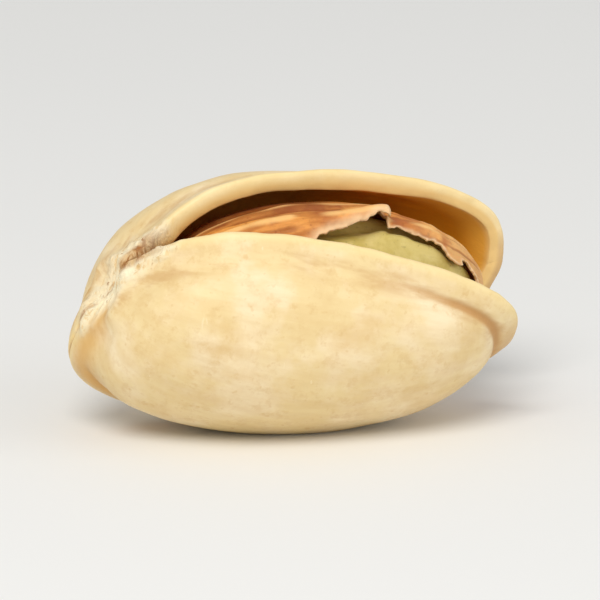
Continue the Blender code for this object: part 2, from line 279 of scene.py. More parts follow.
def smooth_step(value, low, high):
    share = np.clip((value - low) / (high - low), 0.0, 1.0)
    return share * share * (3 - 2 * share)


def by_side(around, top, side, bottom):
    """A value that goes smoothly from top through side to bottom on the way round the nut."""
    up = np.cos(around)
    return mix(side, np.where(up > 0, top, bottom), np.abs(up) ** 3)


def sphere_angles(points):
    """The angle from the stem pole, and the angle round from the top towards the front, of points on the
    unit sphere. The stem pole is at its -Z, the top at its +X and the front at its +Y."""
    return np.arccos(np.clip(-points[:, 2], -1.0, 1.0)), np.arctan2(points[:, 1], points[:, 0])


def crowd_to_seam(around):
    return around - SEAM_CROWDING * np.sin(2 * around) / 2


def rough(points, size, shift=0.0):
    """Smooth noise between about -1 and 1 at each point, with lumps of this size."""
    return np.array([noise.noise(Vector(place)) for place in (points / size + shift).tolist()])


def rough_sum(points, size, layers, shift=0.0):
    """Noise with finer and finer layers, each half as strong as the one before."""
    total = np.zeros(len(points))
    for layer in range(layers):
        total += rough(points, size / 2**layer, shift + 7.3 * layer) / 2**layer
    return total


def girth_of_shell(polar, around):
    to_tip = (1 - np.cos(polar)) / 2
    power = mix(by_side(around, *STEM_POWERS), by_side(around, *TIP_POWERS), to_tip)
    return np.maximum(np.sin(polar), 0.0) ** power * (1 + STEM_HEAVINESS * np.cos(polar))


def seam_relief(from_seam, to_tip):
    """How far the lip stands up, or the hollow beside it sinks, at this distance from the seam."""
    lip = mix(LIP_HEIGHT, LIP_HEIGHT_AT_TIP, to_tip**3) * bump(from_seam, 0, LIP_HALF_WIDTH)
    return lip - HOLLOW_DEPTH * bump(from_seam, HOLLOW_FROM_SEAM, HOLLOW_HALF_WIDTH)


def scar_relief(from_middle):
    ring = SCAR_RING_HEIGHT * bump(from_middle, SCAR_RADIUS, SCAR_RING_WIDTH)
    return ring - SCAR_DISH_DEPTH * bump(from_middle, 0, SCAR_DISH_RADIUS)


def closed_shell(polar, around, relief_share, scar_share):
    """Points of the shell's outside before it split, with the seam in the XZ plane."""
    to_tip = (1 - np.cos(polar)) / 2
    girth = girth_of_shell(polar, around)
    side = np.sin(around)
    x = -SHELL_LENGTH / 2 * np.cos(polar)
    y = -SHELL_HALF_THICKNESS * girth * np.sign(side) * np.abs(side) ** BELLY_POWER
    z = SHELL_HALF_HEIGHT * girth * np.cos(around)
    across = np.stack((x * (2 * SHELL_HALF_HEIGHT / SHELL_LENGTH) ** 2, z), axis=1)
    across /= np.maximum(np.linalg.norm(across, axis=1, keepdims=True), 1e-9)
    raised = relief_share * seam_relief(np.abs(y), to_tip) * (1 - bump(polar, 0, LIP_START))
    x = x - np.where(to_tip < 0.5, scar_share * scar_relief(np.hypot(y, z)), 0.0)
    to_stem = (1 - to_tip) ** 3
    x = x + raised * across[:, 0] + STEM_SLANT * z * to_stem
    z = z + raised * across[:, 1] + TIP_RISE * to_tip**2 + STEM_RISE * to_stem
    return np.stack((x, y, z), axis=1)


def hinge():
    """The line in the seam's plane that the halves swing about: a point on it and its direction towards
    the open side, as (x, z)."""
    ends = closed_shell(np.array((SPLIT_END_TOP, SPLIT_END_BOTTOM)), np.array((0.0, math.pi)), 1.0, 1.0)
    top, bottom = ends[:, (0, 2)]
    along = (bottom - top) / np.linalg.norm(bottom - top)
    return top, np.array((-along[1], along[0]))


def past_hinge(points, start, open_side):
    return (points[:, 0] - start[0]) * open_side[0] + (points[:, 2] - start[1]) * open_side[1]


def swing_open(points, side, start, open_side):
    """Where points of the closed shell lie once their half has swung out. side is 1 for the front half
    and -1 for the back half, which is a little fuller at its tip."""
    past = past_hinge(points, start, open_side)
    depth = np.abs(points[:, 1])
    beyond = np.maximum(past, 0.0)
    at_seam = beyond - GAPE_EASING * (1 - np.exp(-beyond / GAPE_EASING))
    softened = (past - GAPE_EASING) / BELLY_EASING
    at_belly = BELLY_EASING * np.log1p(np.exp(softened))
    eased = mix(at_belly, at_seam, bump(depth, 0, SEAM_REACH))
    turn = np.arctan(GAPE_SLOPE / (1 + np.exp(-softened)))
    out = depth * np.cos(turn) + GAPE_SLOPE * eased
    back = depth * np.sin(turn) + (1 - math.cos(math.atan(GAPE_SLOPE))) * eased
    moved = np.stack((points[:, 0] - back * open_side[0], -side * out, points[:, 2] - back * open_side[1]), axis=1)
    towards_tip = np.maximum(0.5 + points[:, 0] / SHELL_LENGTH, 0.0) ** 3
    fuller = np.where(side < 0, towards_tip * (1 - bump(beyond, 0, BACK_TIP_START)), 0.0)
    return moved + fuller[:, None] * np.array(BACK_TIP_GROWTH)


def kernel_shape(polar, around, inset):
    """Points of the kernel, inset from the outside of its skin, about the kernel's own middle."""
    to_tip = (1 - np.cos(polar)) / 2
    girth = np.maximum(np.sin(polar), 0.0) ** mix(KERNEL_STEM_POWER, KERNEL_TIP_POWER, to_tip)
    waves = sum(height * np.cos(count * around + start) for count, height, start in KERNEL_WAVES)
    radial = girth * (1 + KERNEL_STEM_HEAVINESS * np.cos(polar)) * (1 + waves)
    x = -(KERNEL_LENGTH / 2 - inset) * np.cos(polar)
    y = -(KERNEL_HALF_THICKNESS - inset) * radial * np.sin(around)
    z = (KERNEL_HALF_HEIGHT - inset) * radial * np.cos(around)
    return np.stack((x, y, z), axis=1)


def raise_from_axis(points, height):
    from_axis = np.maximum(np.hypot(points[:, 1], points[:, 2]), 1e-6)
    raised = points.copy()
    raised[:, 1:] *= (1 + height / from_axis)[:, None]
    return raised


def skin_shape(polar, around, before_slit):
    """The outside of the skin: a ridge runs along the top, and the flap before the slit is lifted."""
    points = kernel_shape(polar, around, 0.0)
    ridge = RIDGE_HEIGHT * bump(around, 0, RIDGE_HALF_ANGLE) * np.sin(polar)
    towards_end = smooth_step(points[:, 0], FLAP_START, SLIT_ALONG) ** 1.4
    across = bump(around * KERNEL_HALF_HEIGHT, FLAP_ROUND, FLAP_HALF_WIDTH)
    return raise_from_axis(points, ridge + FLAP_LIFT * towards_end * across * before_slit)


def nut_matrix():
    lay = Matrix.Rotation(TIP_DROP, 4, "Y") @ Matrix.Rotation(LEAN, 4, "X")
    return Matrix.Translation(REST_PLACE) @ lay


def kernel_matrix():
    turn = Matrix.Rotation(-KERNEL_TIP_UP, 4, "Y") @ Matrix.Rotation(KERNEL_TURN, 4, "X")
    return nut_matrix() @ Matrix.Translation(KERNEL_MIDDLE) @ turn


def placed(points, matrix):
    matrix = np.array(matrix)
    return points @ matrix[:3, :3].T + matrix[:3, 3]


def distance_inside(points, outline):
    """Distance of each 2-D point from a closed outline, positive inside it."""
    corners = np.array(outline)
    following = np.roll(corners, -1, axis=0)
    nearest = np.full(len(points), np.inf)
    inside = np.zeros(len(points), dtype=bool)
    for start, end in zip(corners, following):
        edge = end - start
        along = np.clip(((points - start) @ edge) / (edge @ edge), 0.0, 1.0)
        nearest = np.minimum(nearest, np.linalg.norm(points - start - along[:, None] * edge, axis=1))
        crosses = (start[1] > points[:, 1]) != (end[1] > points[:, 1])
        if start[1] != end[1]:
            at = start[0] + (points[:, 1] - start[1]) / (end[1] - start[1]) * edge[0]
            inside ^= crosses & (points[:, 0] < at)
    return np.where(inside, nearest, -nearest)


# Meshes


def coordinates(mesh):
    flat = np.empty(len(mesh.vertices) * 3)
    mesh.vertices.foreach_get("co", flat)
    return flat.reshape(-1, 3)


def set_coordinates(mesh, points):
    mesh.vertices.foreach_set("co", np.ascontiguousarray(points, dtype=np.float32).ravel())
    mesh.update()


def normals_at(mesh, points):
    """The vertex normals that the mesh has with its vertices at these points."""
    set_coordinates(mesh, points)
    flat = np.empty(len(mesh.vertices) * 3)
    mesh.vertices.foreach_get("normal", flat)
    return flat.reshape(-1, 3)


def keep(mesh, name, values, kind="FLOAT"):
    """Stores values on the mesh's vertices for the materials to read."""
    field = {"FLOAT": "value", "INT": "value", "FLOAT_VECTOR": "vector"}[kind]
    held = mesh.attributes.get(name) or mesh.attributes.new(name, kind, "POINT")
    plain = np.int32 if kind == "INT" else np.float32
    held.data.foreach_set(field, np.ascontiguousarray(values, dtype=plain).ravel())


def kept(mesh, name):
    values = np.empty(len(mesh.vertices), dtype=np.int32)
    mesh.attributes[name].data.foreach_get("value", values)
    return values


def new_sphere(name, segments, rings):
    bpy.ops.object.select_all(action="DESELECT")
    bpy.ops.mesh.primitive_uv_sphere_add(segments=segments, ring_count=rings, radius=1.0, location=(0, 0, 0))
    piece = bpy.context.active_object
    piece.name = name
    piece.data.name = name
    while piece.data.uv_layers:
        piece.data.uv_layers.remove(piece.data.uv_layers[0])
    return piece


def select_in(mesh, verts=None, edges=None, faces=None):
    """Selects only these vertices, edges or faces, given as arrays of true and false."""
    for items, chosen in ((mesh.vertices, verts), (mesh.edges, edges), (mesh.polygons, faces)):
        flags = np.zeros(len(items), dtype=bool) if chosen is None else chosen
        items.foreach_set("select", flags)


def in_edit_mode(piece, mode, action):
    """Runs one edit mode operator on what is selected in the piece."""
    bpy.context.view_layer.objects.active = piece
    bpy.context.tool_settings.mesh_select_mode = (mode == "VERT", mode == "EDGE", mode == "FACE")
    bpy.ops.object.mode_set(mode="EDIT")
    action()
    bpy.ops.object.mode_set(mode="OBJECT")


def edge_ends(mesh):
    ends = np.empty(len(mesh.edges) * 2, dtype=np.int32)
    mesh.edges.foreach_get("vertices", ends)
    return ends.reshape(-1, 2)


def give_thickness(piece, thickness):
    """Gives a sheet its thickness inwards. The first half of the vertices is the outside."""
    wall = piece.modifiers.new("wall", "SOLIDIFY")
    wall.thickness = thickness
    wall.offset = -1.0
    bpy.context.view_layer.objects.active = piece
    bpy.ops.object.modifier_apply(modifier=wall.name)


def finish_piece(piece, node, material):
    bpy.ops.object.select_all(action="DESELECT")
    piece.select_set(True)
    bpy.context.view_layer.objects.active = piece
    bpy.ops.object.shade_smooth()
    piece.data.materials.clear()
    piece.data.materials.append(material)
    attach(piece, BODY)
    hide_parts(node)
    piece.select_set(False)


def side_of_faces(mesh, axis, boundary):
    """For each vertex, 1 where the faces that it bounds lie past the boundary on this axis, and 0 where
    they lie before it."""
    faces = mesh.polygons
    totals = np.empty(len(faces), dtype=np.int32)
    faces.foreach_get("loop_total", totals)
    corners = np.empty(totals.sum(), dtype=np.int32)
    faces.foreach_get("vertices", corners)
    centers = np.empty(len(faces) * 3)
    faces.foreach_get("center", centers)
    weight = np.zeros(len(mesh.vertices))
    np.add.at(weight, corners, np.repeat(centers.reshape(-1, 3)[:, axis] - boundary, totals))
    return (weight > 0).astype(float)


# Shell

SCAR_MIDDLE = 12.5
SCAR_HALF_LENGTH = 22.0
SCAR_HALF_WIDTH = 1.35
CREASE_FROM_SEAM = 1.28
CREASE_HALF_WIDTH = 0.18


def scar_share(points, polar, around):
    """1 on the scar of the stem and along the first of the split, with a ragged border, and 0 off it.
    Its length is in degrees from the stem end towards the top."""
    ragged = 0.22 * rough(points, 0.8, 3.1) + 0.14 * rough(points, 0.33, 9.4)
    up = np.degrees(polar) * np.cos(around)
    narrow = mix(1.0, 0.6, smooth_step(up, 8.0, 34.0))
    reach = np.hypot(points[:, 1] / (SCAR_HALF_WIDTH * narrow), (up - SCAR_MIDDLE) / SCAR_HALF_LENGTH)
    return (1 - smooth_step(reach + ragged, 0.60, 1.15)) * (polar < math.radians(60))


def crease_share(points, polar, around):
    """1 along the crease that runs beside the seam, strongest round the tip and below the stem end."""
    wander = 0.12 * rough(points * (0.35, 1, 0.35), 1.6, 5.5)
    line = bump(np.abs(points[:, 1]), CREASE_FROM_SEAM + wander, CREASE_HALF_WIDTH)
    to_tip = (1 - np.cos(polar)) / 2
    at_tip = smooth_step(to_tip, 0.58, 0.84)
    under_stem = smooth_step(-np.cos(around), 0.0, 0.5) * (1 - smooth_step(to_tip, 0.35, 0.7))
    broken = 0.65 + 0.35 * rough(points * (0.4, 1, 0.4), 1.3, 8.2)
    return line * np.maximum(at_tip, under_stem) * broken * smooth_step(polar, math.radians(14), math.radians(30))


def make_shell(look):
    """The woody shell: a sphere drawn to the nut's outline, parted along the split, given its wall, and
    swung open. Its coordinates are worked out closed, so that both halves keep one surface."""
    piece = new_sphere("shell_woody", SHELL_SEGMENTS, SHELL_RINGS)
    mesh = piece.data
    unit = coordinates(mesh)
    polar, around = sphere_angles(unit)
    on_seam = (np.abs(unit[:, 1]) < 1e-5)
    around = crowd_to_seam(around)
    to_tip = (1 - np.cos(polar)) / 2
    start, open_side = hinge()

    inner_form = closed_shell(polar, around, LINING_RELIEF, 0.0)
    inner_form[on_seam, 1] = 0.0
    wall = WALL_BODY + (WALL_STEM - WALL_BODY) * bump(inner_form[:, 0], -SHELL_LENGTH / 2, WALL_STEM_REACH)
    wall += (WALL_TIP - WALL_BODY) * bump(inner_form[:, 0], SHELL_LENGTH / 2, WALL_TIP_REACH)
    inner_normals = normals_at(mesh, inner_form)
    inner_normals[on_seam, 1] = 0.0
    inner = inner_form - inner_normals * wall[:, None]

    outer = closed_shell(polar, around, 1.0, 1.0)
    outer[on_seam, 1] = 0.0
    normals = normals_at(mesh, outer)
    normals[on_seam, 1] = 0.0

    from_seam = np.abs(outer[:, 1])
    past = past_hinge(outer, start, open_side)
    opened = smooth_step(past, 0.0, 0.9)
    scar = scar_share(outer, polar, around)
    crease = crease_share(outer, polar, around)
    spread = SHELL_HALF_HEIGHT * girth_of_shell(polar, around) ** 0.45
    flow = np.stack((spread * np.cos(around), spread * np.sin(around), outer[:, 0] * 0.22), axis=1)
    low = placed(outer, nut_matrix())[:, 2]
    off_rest = smooth_step(low, 0.25, 1.4)

    lumps = rough(outer, 4.2, 1.7) + 0.45 * rough(outer, 1.9, 4.4)
    relief = look.lumps / MM * lumps * off_rest
    off_ends = smooth_step(np.sin(polar), 0.25, 0.8)
    relief += look.grain / MM * (rough(flow, 0.9, 2.2) + 0.6 * rough(flow, 0.42, 6.1)) * off_rest * off_ends
    relief -= look.crease / MM * crease
    below = smooth_step(-np.cos(around), -0.1, 0.5) * (1 - smooth_step(to_tip, 0.25, 0.55)) * (1 - scar)
    relief -= 0.28 * below * bump(from_seam, 1.9, 0.75) * off_rest
    relief += 0.22 * below * bump(from_seam, 0.0, 0.7) * smooth_step(to_tip, 0.03, 0.2) * off_rest
    seam_line = bump(from_seam, 0.0, 0.11) * (1 - opened)
    relief -= 0.13 * seam_line * (1 - 0.6 * scar)
    fibres = rough(outer * (1.0, 1.0, 0.3), 0.36, 2.9) + 0.6 * rough(outer * (1.0, 1.0, 0.45), 0.19, 6.7)
    relief += scar**1.5 * (0.09 + 0.15 * fibres)
    outer = outer + normals * relief[:, None]

    radius = look.rim_round / MM
    near = np.maximum(radius - from_seam, 0.0)
    rounding = (radius - np.sqrt(np.maximum(radius**2 - near**2, 0.0))) * opened
    outer = outer - normals * rounding[:, None]
    uneven = 0.05 * rough(inner, 1.4, 3.3) + 0.08 * rough(inner, 2.6, 6.0) * bump(from_seam, 0, 0.8)
    inner = inner + inner_normals * (rounding + uneven)[:, None]

    nicks = 0.07 * rough_sum(outer * (1.0, 0.0, 1.0), 1.3, 3, 12.0)
    set_coordinates(mesh, unit)

    keep(mesh, "source", np.arange(len(unit)), "INT")
    ends = edge_ends(mesh)
    seam_top = on_seam & (unit[:, 0] > 0) & (polar > SPLIT_END_TOP - 1e-3)
    seam_bottom = on_seam & (unit[:, 0] < 0) & (polar > SPLIT_END_BOTTOM - 1e-3)
    pole = polar > math.pi - 1e-3
    split_line = seam_top | seam_bottom | pole
    select_in(mesh, verts=split_line, edges=split_line[ends].all(axis=1))
    in_edit_mode(piece, "EDGE", lambda: bpy.ops.mesh.edge_split(type="EDGE"))
    give_thickness(piece, 0.1)

    source = kept(mesh, "source")
    side = 2 * side_of_faces(mesh, 1, 0.0) - 1
    is_inside = np.arange(len(source)) >= len(source) // 2
    points = np.where(is_inside[:, None], inner[source], outer[source])
    retreat = (0.04 + np.where(side > 0, nicks[source], -nicks[source])) * bump(from_seam[source], 0, 0.5)
    depth = np.abs(points[:, 1]) + np.maximum(retreat, 0.0) * opened[source]
    points[:, 1] = -side * depth
    points = np.where(
        (on_seam & (opened <= 0))[source][:, None], np.where(is_inside[:, None], inner[source], outer[source]),
        swing_open(points, side, start, open_side),
    )
    points = placed(points, nut_matrix())
    points[:, 2] = np.maximum(points[:, 2], 0.0)
    set_coordinates(mesh, points * MM)

    keep(mesh, "inside", is_inside)
    keep(mesh, "from_seam", from_seam[source])
    keep(mesh, "opened", opened[source])
    keep(mesh, "to_tip", to_tip[source])
    keep(mesh, "scar", scar[source])
    keep(mesh, "crease", crease[source])
    # Tan and brown at the split's end: the torn wall's colour, darkened as painted shade in the notch
    frayed_and_shaded = smooth_step(past, -0.3, 0.1) * (1 - smooth_step(past, 0.8, 3.2)) * (unit[:, 0] > 0)
    keep(mesh, "frayed_and_shaded", frayed_and_shaded[source])
    # Tan on the underside of the tip: the apex's own darker tint and painted shade on its facet
    beak = smooth_step(to_tip, 0.84, 0.97) * smooth_step(-unit[:, 0], -0.30, 0.06)
    keep(mesh, "beak", (beak * (1 - smooth_step(from_seam, 1.0, 1.35)))[source])
    # Golden tan along the crease below the stem end: the shell's tint and painted shade
    keep(mesh, "under_stem", (below * bump(from_seam, 1.15, 0.6))[source])
    keep(mesh, "flow", flow[source], "FLOAT_VECTOR")
    mesh.attributes.remove(mesh.attributes["source"])
    finish_piece(piece, "shell", shell_material(look))
    return piece


# Kernel


def make_flesh(look):
    """The seed in its skin, with a groove between its two lobes that closes where the skin is torn, and
    where the seed swells a little into the tear."""
    piece = new_sphere("kernel_seed", FLESH_SEGMENTS, FLESH_RINGS)
    polar, around = sphere_angles(coordinates(piece.data))
    points = kernel_shape(polar, around, FLESH_INSET)
    to_seam = np.minimum(np.abs(around), math.pi - np.abs(around))
    inside_tear = distance_inside(np.stack((points[:, 0], around * KERNEL_HALF_HEIGHT), axis=1), TEAR_OUTLINE)
    ridge = 0.9 * RIDGE_HEIGHT * bump(around, 0, RIDGE_HALF_ANGLE)
    swelling = (FLESH_SWELLING + ridge) * smooth_step(inside_tear, -0.6, 0.0) * smooth_step(points[:, 0], 0.8, 2.6)
    closed_up = 1 - 0.85 * smooth_step(inside_tear, -1.2, 0.2)
    groove = LOBE_GROOVE_DEPTH * closed_up * bump(to_seam, 0, LOBE_GROOVE_HALF_ANGLE) * np.sin(polar)
    folds = 0.06 * rough(points * (0.3, 1, 1), 1.3, 2.0) + 0.035 * rough(points * (0.35, 1, 1), 0.5, 5.0)
    points = raise_from_axis(points, folds - groove + swelling)
    flow = np.stack((4.4 * np.cos(around), 4.4 * np.sin(around), points[:, 0] * 0.25), axis=1)
    set_coordinates(piece.data, placed(points, kernel_matrix()) * MM)
    keep(piece.data, "flow", flow, "FLOAT_VECTOR")
    finish_piece(piece, "kernel", flesh_material(look))
    return piece


def tear_distance(along, round_top):
    """How far a place of the skin is outside the tear, with the raggedness of dry skin."""
    plain = np.stack((along, round_top, np.zeros(len(along))), axis=1)
    jag = np.stack([0.10 * rough(plain, 0.70, s) + 0.08 * rough(plain, 0.24, s + 4) for s in (1.0, 20.0)], axis=1)
    return -distance_inside(plain[:, :2] + jag, TEAR_OUTLINE)


def pulled_to_tear(along, round_top):
    """The same places, with those inside the tear drawn out to its edge, and their distance from it."""
    step = 0.02
    outside = tear_distance(along, round_top)
    for _ in range(2):
        slope_x = (tear_distance(along + step, round_top) - tear_distance(along - step, round_top)) / (2 * step)
        slope_r = (tear_distance(along, round_top + step) - tear_distance(along, round_top - step)) / (2 * step)
        behind = np.where(outside < 0, -outside / np.maximum(slope_x**2 + slope_r**2, 0.4), 0.0)
        along = np.clip(along + behind * slope_x, -KERNEL_LENGTH / 2, KERNEL_LENGTH / 2)
        round_top = round_top + behind * slope_r
        outside = tear_distance(along, round_top)
    return along, round_top, outside


def lost_in_tear(corners, outside, before, after):
    """Whether a face is all inside the tear, or is turned over as it is drawn to the tear's edge."""
    if outside[corners].max() <= 0:
        return True
    if outside[corners].min() > 0:
        return False
    areas = []
    for flat in (before, after):
        first, second = flat[corners[2]] - flat[corners[0]], flat[corners[-1]] - flat[corners[1]]
        areas.append(first[0] * second[1] - first[1] * second[0])
    return areas[1] < SLIVER_SHARE * areas[0] if areas[0] > 0 else areas[1] > SLIVER_SHARE * areas[0]


def fold_height(points, round_top):
    """A few soft folds that run the length of the skin, beside its ridge."""
    height = np.zeros(len(points))
    for middle, rise, half_width, shift in SKIN_FOLDS:
        wander = 0.28 * rough(points * (1.0, 0.0, 0.0), 3.2, shift)
        strength = smooth_step(rough(points * (1.0, 0.0, 0.0), 2.4, shift + 5.0), -0.45, 0.10)
        height += rise * strength * bump(round_top, middle + wander, half_width)
    return height


def make_skin(look):
    """The papery skin: a ridged and wrinkled hull of the seed, torn open, with its edges curled up."""
    piece = new_sphere("kernel_skin_papery", SKIN_SEGMENTS, SKIN_RINGS)
    mesh = piece.data
    unit = coordinates(mesh)
    polar, around = sphere_angles(unit)
    half = KERNEL_LENGTH / 2
    along = -half * np.cos(polar)
    round_top = around * KERNEL_HALF_HEIGHT

    ends = edge_ends(mesh)
    slit_ring = np.abs(polar - polar[np.argmin(np.abs(along - SLIT_ALONG))]) < 1e-4
    on_slit = slit_ring & (round_top > SLIT_FROM) & (round_top < SLIT_TO)
    select_in(mesh, verts=on_slit, edges=on_slit[ends].all(axis=1))
    keep(mesh, "source", np.arange(len(polar)), "INT")
    in_edit_mode(piece, "EDGE", lambda: bpy.ops.mesh.edge_split(type="EDGE"))
    source = kept(mesh, "source")
    flat = np.stack((along, round_top), axis=1)[source]
    outside = tear_distance(along, round_top)[source]
    along, round_top, from_tear = pulled_to_tear(along, round_top)
    pulled = np.stack((along, round_top), axis=1)[source]
    gone = [lost_in_tear(list(face.vertices), outside, flat, pulled) for face in mesh.polygons]
    select_in(mesh, faces=np.array(gone))
    in_edit_mode(piece, "FACE", lambda: bpy.ops.mesh.delete(type="FACE"))
    source = kept(mesh, "source")
    slit_height = unit[np.argmax(slit_ring), 2]
    tip_side = side_of_faces(mesh, 2, slit_height)
    before_slit = np.where(slit_ring[source], 1 - tip_side, unit[source, 2] < slit_height).astype(float)
    along, round_top, outside = along[source], round_top[source], from_tear[source]
    at_slit = on_slit[source]
    down_slit = np.stack((round_top, 0 * along, 0 * along), axis=1)
    waver = 0.36 * rough(down_slit, 1.1, 2.0) * smooth_step(np.abs(round_top - SLIT_MIDDLE), 1.35, 0.6)
    waver = waver * bump(along, SLIT_ALONG, 0.9)
    torn_end = 0.17 * rough(down_slit, 0.33, 6.0)
    along = along + waver + np.where(at_slit, np.where(before_slit > 0, torn_end, 0.05 - torn_end / 2), 0.0)
    polar = np.arccos(np.clip(-along / half, -1, 1))
    around = round_top / KERNEL_HALF_HEIGHT
    points = skin_shape(polar, around, before_slit)

    from_slit = np.where((round_top > SLIT_FROM) & (round_top < SLIT_TO), np.abs(along - SLIT_ALONG), 9.0)
    from_edge = np.minimum(np.maximum(outside, 0.0), from_slit)
    flow = np.stack((4.4 * np.cos(around), 4.4 * np.sin(around), points[:, 0] * 0.2), axis=1)
    wrinkles = rough(flow, 0.85, 1.3) + 0.7 * rough(flow, 0.38, 3.9)
    buckles = rough(points, 1.7, 5.2)
    curl = bump(from_edge, 0.0, 0.32) * (0.08 + 0.14 * np.maximum(rough(points, 1.1, 8.8), -0.5))
    past_slit = smooth_step(along, SLIT_ALONG - 0.3, SLIT_ALONG + 0.5)
    crumples = 0.8 * rough(points * (0.7, 1.0, 1.0), 0.95, 2.7) + 0.5 * rough(points, 0.45, 7.1)
    height = look.wrinkles / MM * (wrinkles + 1.6 * past_slit * crumples) + 0.06 * buckles
    height += curl * np.where(along > SLIT_ALONG, 0.5, 1.0)
    folds = fold_height(points, round_top)
    height += folds
    by_tear = smooth_step(outside, 0.9, 0.1) * past_slit
    height = mix(height, np.maximum(height, -0.05), by_tear)
    edge_lift = bump(outside, 0.0, 0.95) * smooth_step(along, -1.4, 0.4) * before_slit
    height += FLAP_EDGE_LIFT * edge_lift
    height += LOBE_EDGE_LIFT * bump(outside, 0.0, 0.7) * bump(along, 5.75, 1.0)
    points = raise_from_axis(points, height * np.sin(polar))
    set_coordinates(mesh, placed(points, kernel_matrix()) * MM)
    keep(mesh, "torn", np.exp(-from_edge / np.where(before_slit > 0, 0.48, 0.18)))
    # High in the hollows of the crumples, where the colour darkens: blotches and painted shade
    keep(mesh, "crumpled", past_slit * (0.5 - 0.5 * crumples))
    # Paler towards the tip: painted light on the skin past the slit, which lies in shade
    keep(mesh, "dry", smooth_step(along, 3.0, 6.2))
    keep(mesh, "folds", folds)
    # Darker towards the back and the stem end: the skin's own brown and painted shade
    keep(mesh, "dusk", smooth_step(-round_top, 0.4, 1.9) * smooth_step(-along, -2.2, 1.0))
    keep(mesh, "flow", flow, "FLOAT_VECTOR")
    mesh.attributes.remove(mesh.attributes["source"])
    outside_count = len(mesh.vertices)
    give_thickness(piece, look.thickness)
    keep(mesh, "lining", np.arange(len(mesh.vertices)) >= outside_count)
    finish_piece(piece, "kernel_skin", skin_material(look))
    return piece


# Materials


def add_node(tree, kind, values=None, **settings):
    """Adds a node with its settings, and gives each named or numbered input a value or a link."""
    made = tree.nodes.new(kind)
    for name, value in settings.items():
        setattr(made, name, value)
    for key, value in (values or {}).items():
        socket = made.inputs[key]
        if isinstance(value, bpy.types.NodeSocket):
            tree.links.new(value, socket)
        elif hasattr(socket.default_value, "__len__") and len(socket.default_value) == 4 and len(value) == 3:
            socket.default_value = (*value, 1.0)
        else:
            socket.default_value = value
    return made


def calculate(tree, operation, first, second=0.0, clamp=False):
    made = add_node(tree, "ShaderNodeMath", {0: first, 1: second}, operation=operation, use_clamp=clamp)
    return made.outputs[0]


def blend_colours(tree, share, first, second, blend="MIX"):
    made = add_node(
        tree, "ShaderNodeMix", {0: share, 6: first, 7: second}, data_type="RGBA", blend_type=blend
    )
    return made.outputs[2]


def blend_value(tree, share, first, second):
    made = add_node(tree, "ShaderNodeMix", {0: share, 2: first, 3: second}, data_type="FLOAT")
    return made.outputs[0]


def span(tree, value, low, high, to_low=0.0, to_high=1.0):
    """Stretches the values from low to high over another range, smoothly and held at its ends."""
    made = add_node(
        tree, "ShaderNodeMapRange", {0: value, 1: low, 2: high, 3: to_low, 4: to_high},
        interpolation_type="SMOOTHSTEP",
    )
    return made.outputs[0]


def attribute(tree, name, vector=False):
    made = add_node(tree, "ShaderNodeAttribute", attribute_name=name)
    return made.outputs["Vector" if vector else "Fac"]


def place_in_mm(tree):
    where = add_node(tree, "ShaderNodeTexCoord")
    return add_node(
        tree, "ShaderNodeVectorMath", {0: where.outputs["Object"], "Scale": 1000.0}, operation="SCALE"
    ).outputs[0]


def noise_at(tree, vector, per_mm, detail=3.0, roughness=0.55, distortion=0.0):
    made = add_node(
        tree, "ShaderNodeTexNoise",
        {"Vector": vector, "Scale": per_mm, "Detail": detail, "Roughness": roughness, "Distortion": distortion},
    )
    return made.outputs[0]


def new_group(name, inputs, outputs):
    """A shader node group with these sockets, each given as (name, kind) or (name, kind, default)."""
    group = bpy.data.node_groups.new(name, "ShaderNodeTree")
    for label, kind, *default in inputs:
        socket = group.interface.new_socket(label, in_out="INPUT", socket_type=kind)
        if default:
            socket.default_value = default[0]
    for label, kind in outputs:
        group.interface.new_socket(label, in_out="OUTPUT", socket_type=kind)
    return group, group.nodes.new("NodeGroupInput"), group.nodes.new("NodeGroupOutput")


def use_group(tree, group, values):
    made = tree.nodes.new("ShaderNodeGroup")
    made.node_tree = group
    for name, value in values.items():
        if isinstance(value, bpy.types.NodeSocket):
            tree.links.new(value, made.inputs[name])
        elif isinstance(value, tuple) and len(value) == 3:
            made.inputs[name].default_value = (*value, 1.0)
        else:
            made.inputs[name].default_value = value
    return made


def grain_group():
    """Lines that run the length of the nut, fine and coarse, as a height and as a mask of streaks."""
    group = bpy.data.node_groups.get("lengthwise_grain")
    if group:
        return group
    group, given, out = new_group(
        "lengthwise_grain",
        (("Flow", "NodeSocketVector"), ("Lines per mm", "NodeSocketFloat", 2.0), ("Contrast", "NodeSocketFloat", 0.2)),
        (("Height", "NodeSocketFloat"), ("Streaks", "NodeSocketFloat")),
    )
    coarse = noise_at(group, given.outputs["Flow"], given.outputs["Lines per mm"], detail=4.0, distortion=0.15)
    finer = calculate(group, "MULTIPLY", given.outputs["Lines per mm"], 3.1)
    fine = noise_at(group, given.outputs["Flow"], finer, detail=2.0)
    total = calculate(group, "ADD", coarse, calculate(group, "MULTIPLY", fine, 0.4))
    group.links.new(total, out.inputs["Height"])
    low = calculate(group, "SUBTRACT", 0.5, given.outputs["Contrast"])
    high = calculate(group, "ADD", 0.5, given.outputs["Contrast"])
    streaks = span(group, coarse, low, high)
    group.links.new(streaks, out.inputs["Streaks"])
    return group


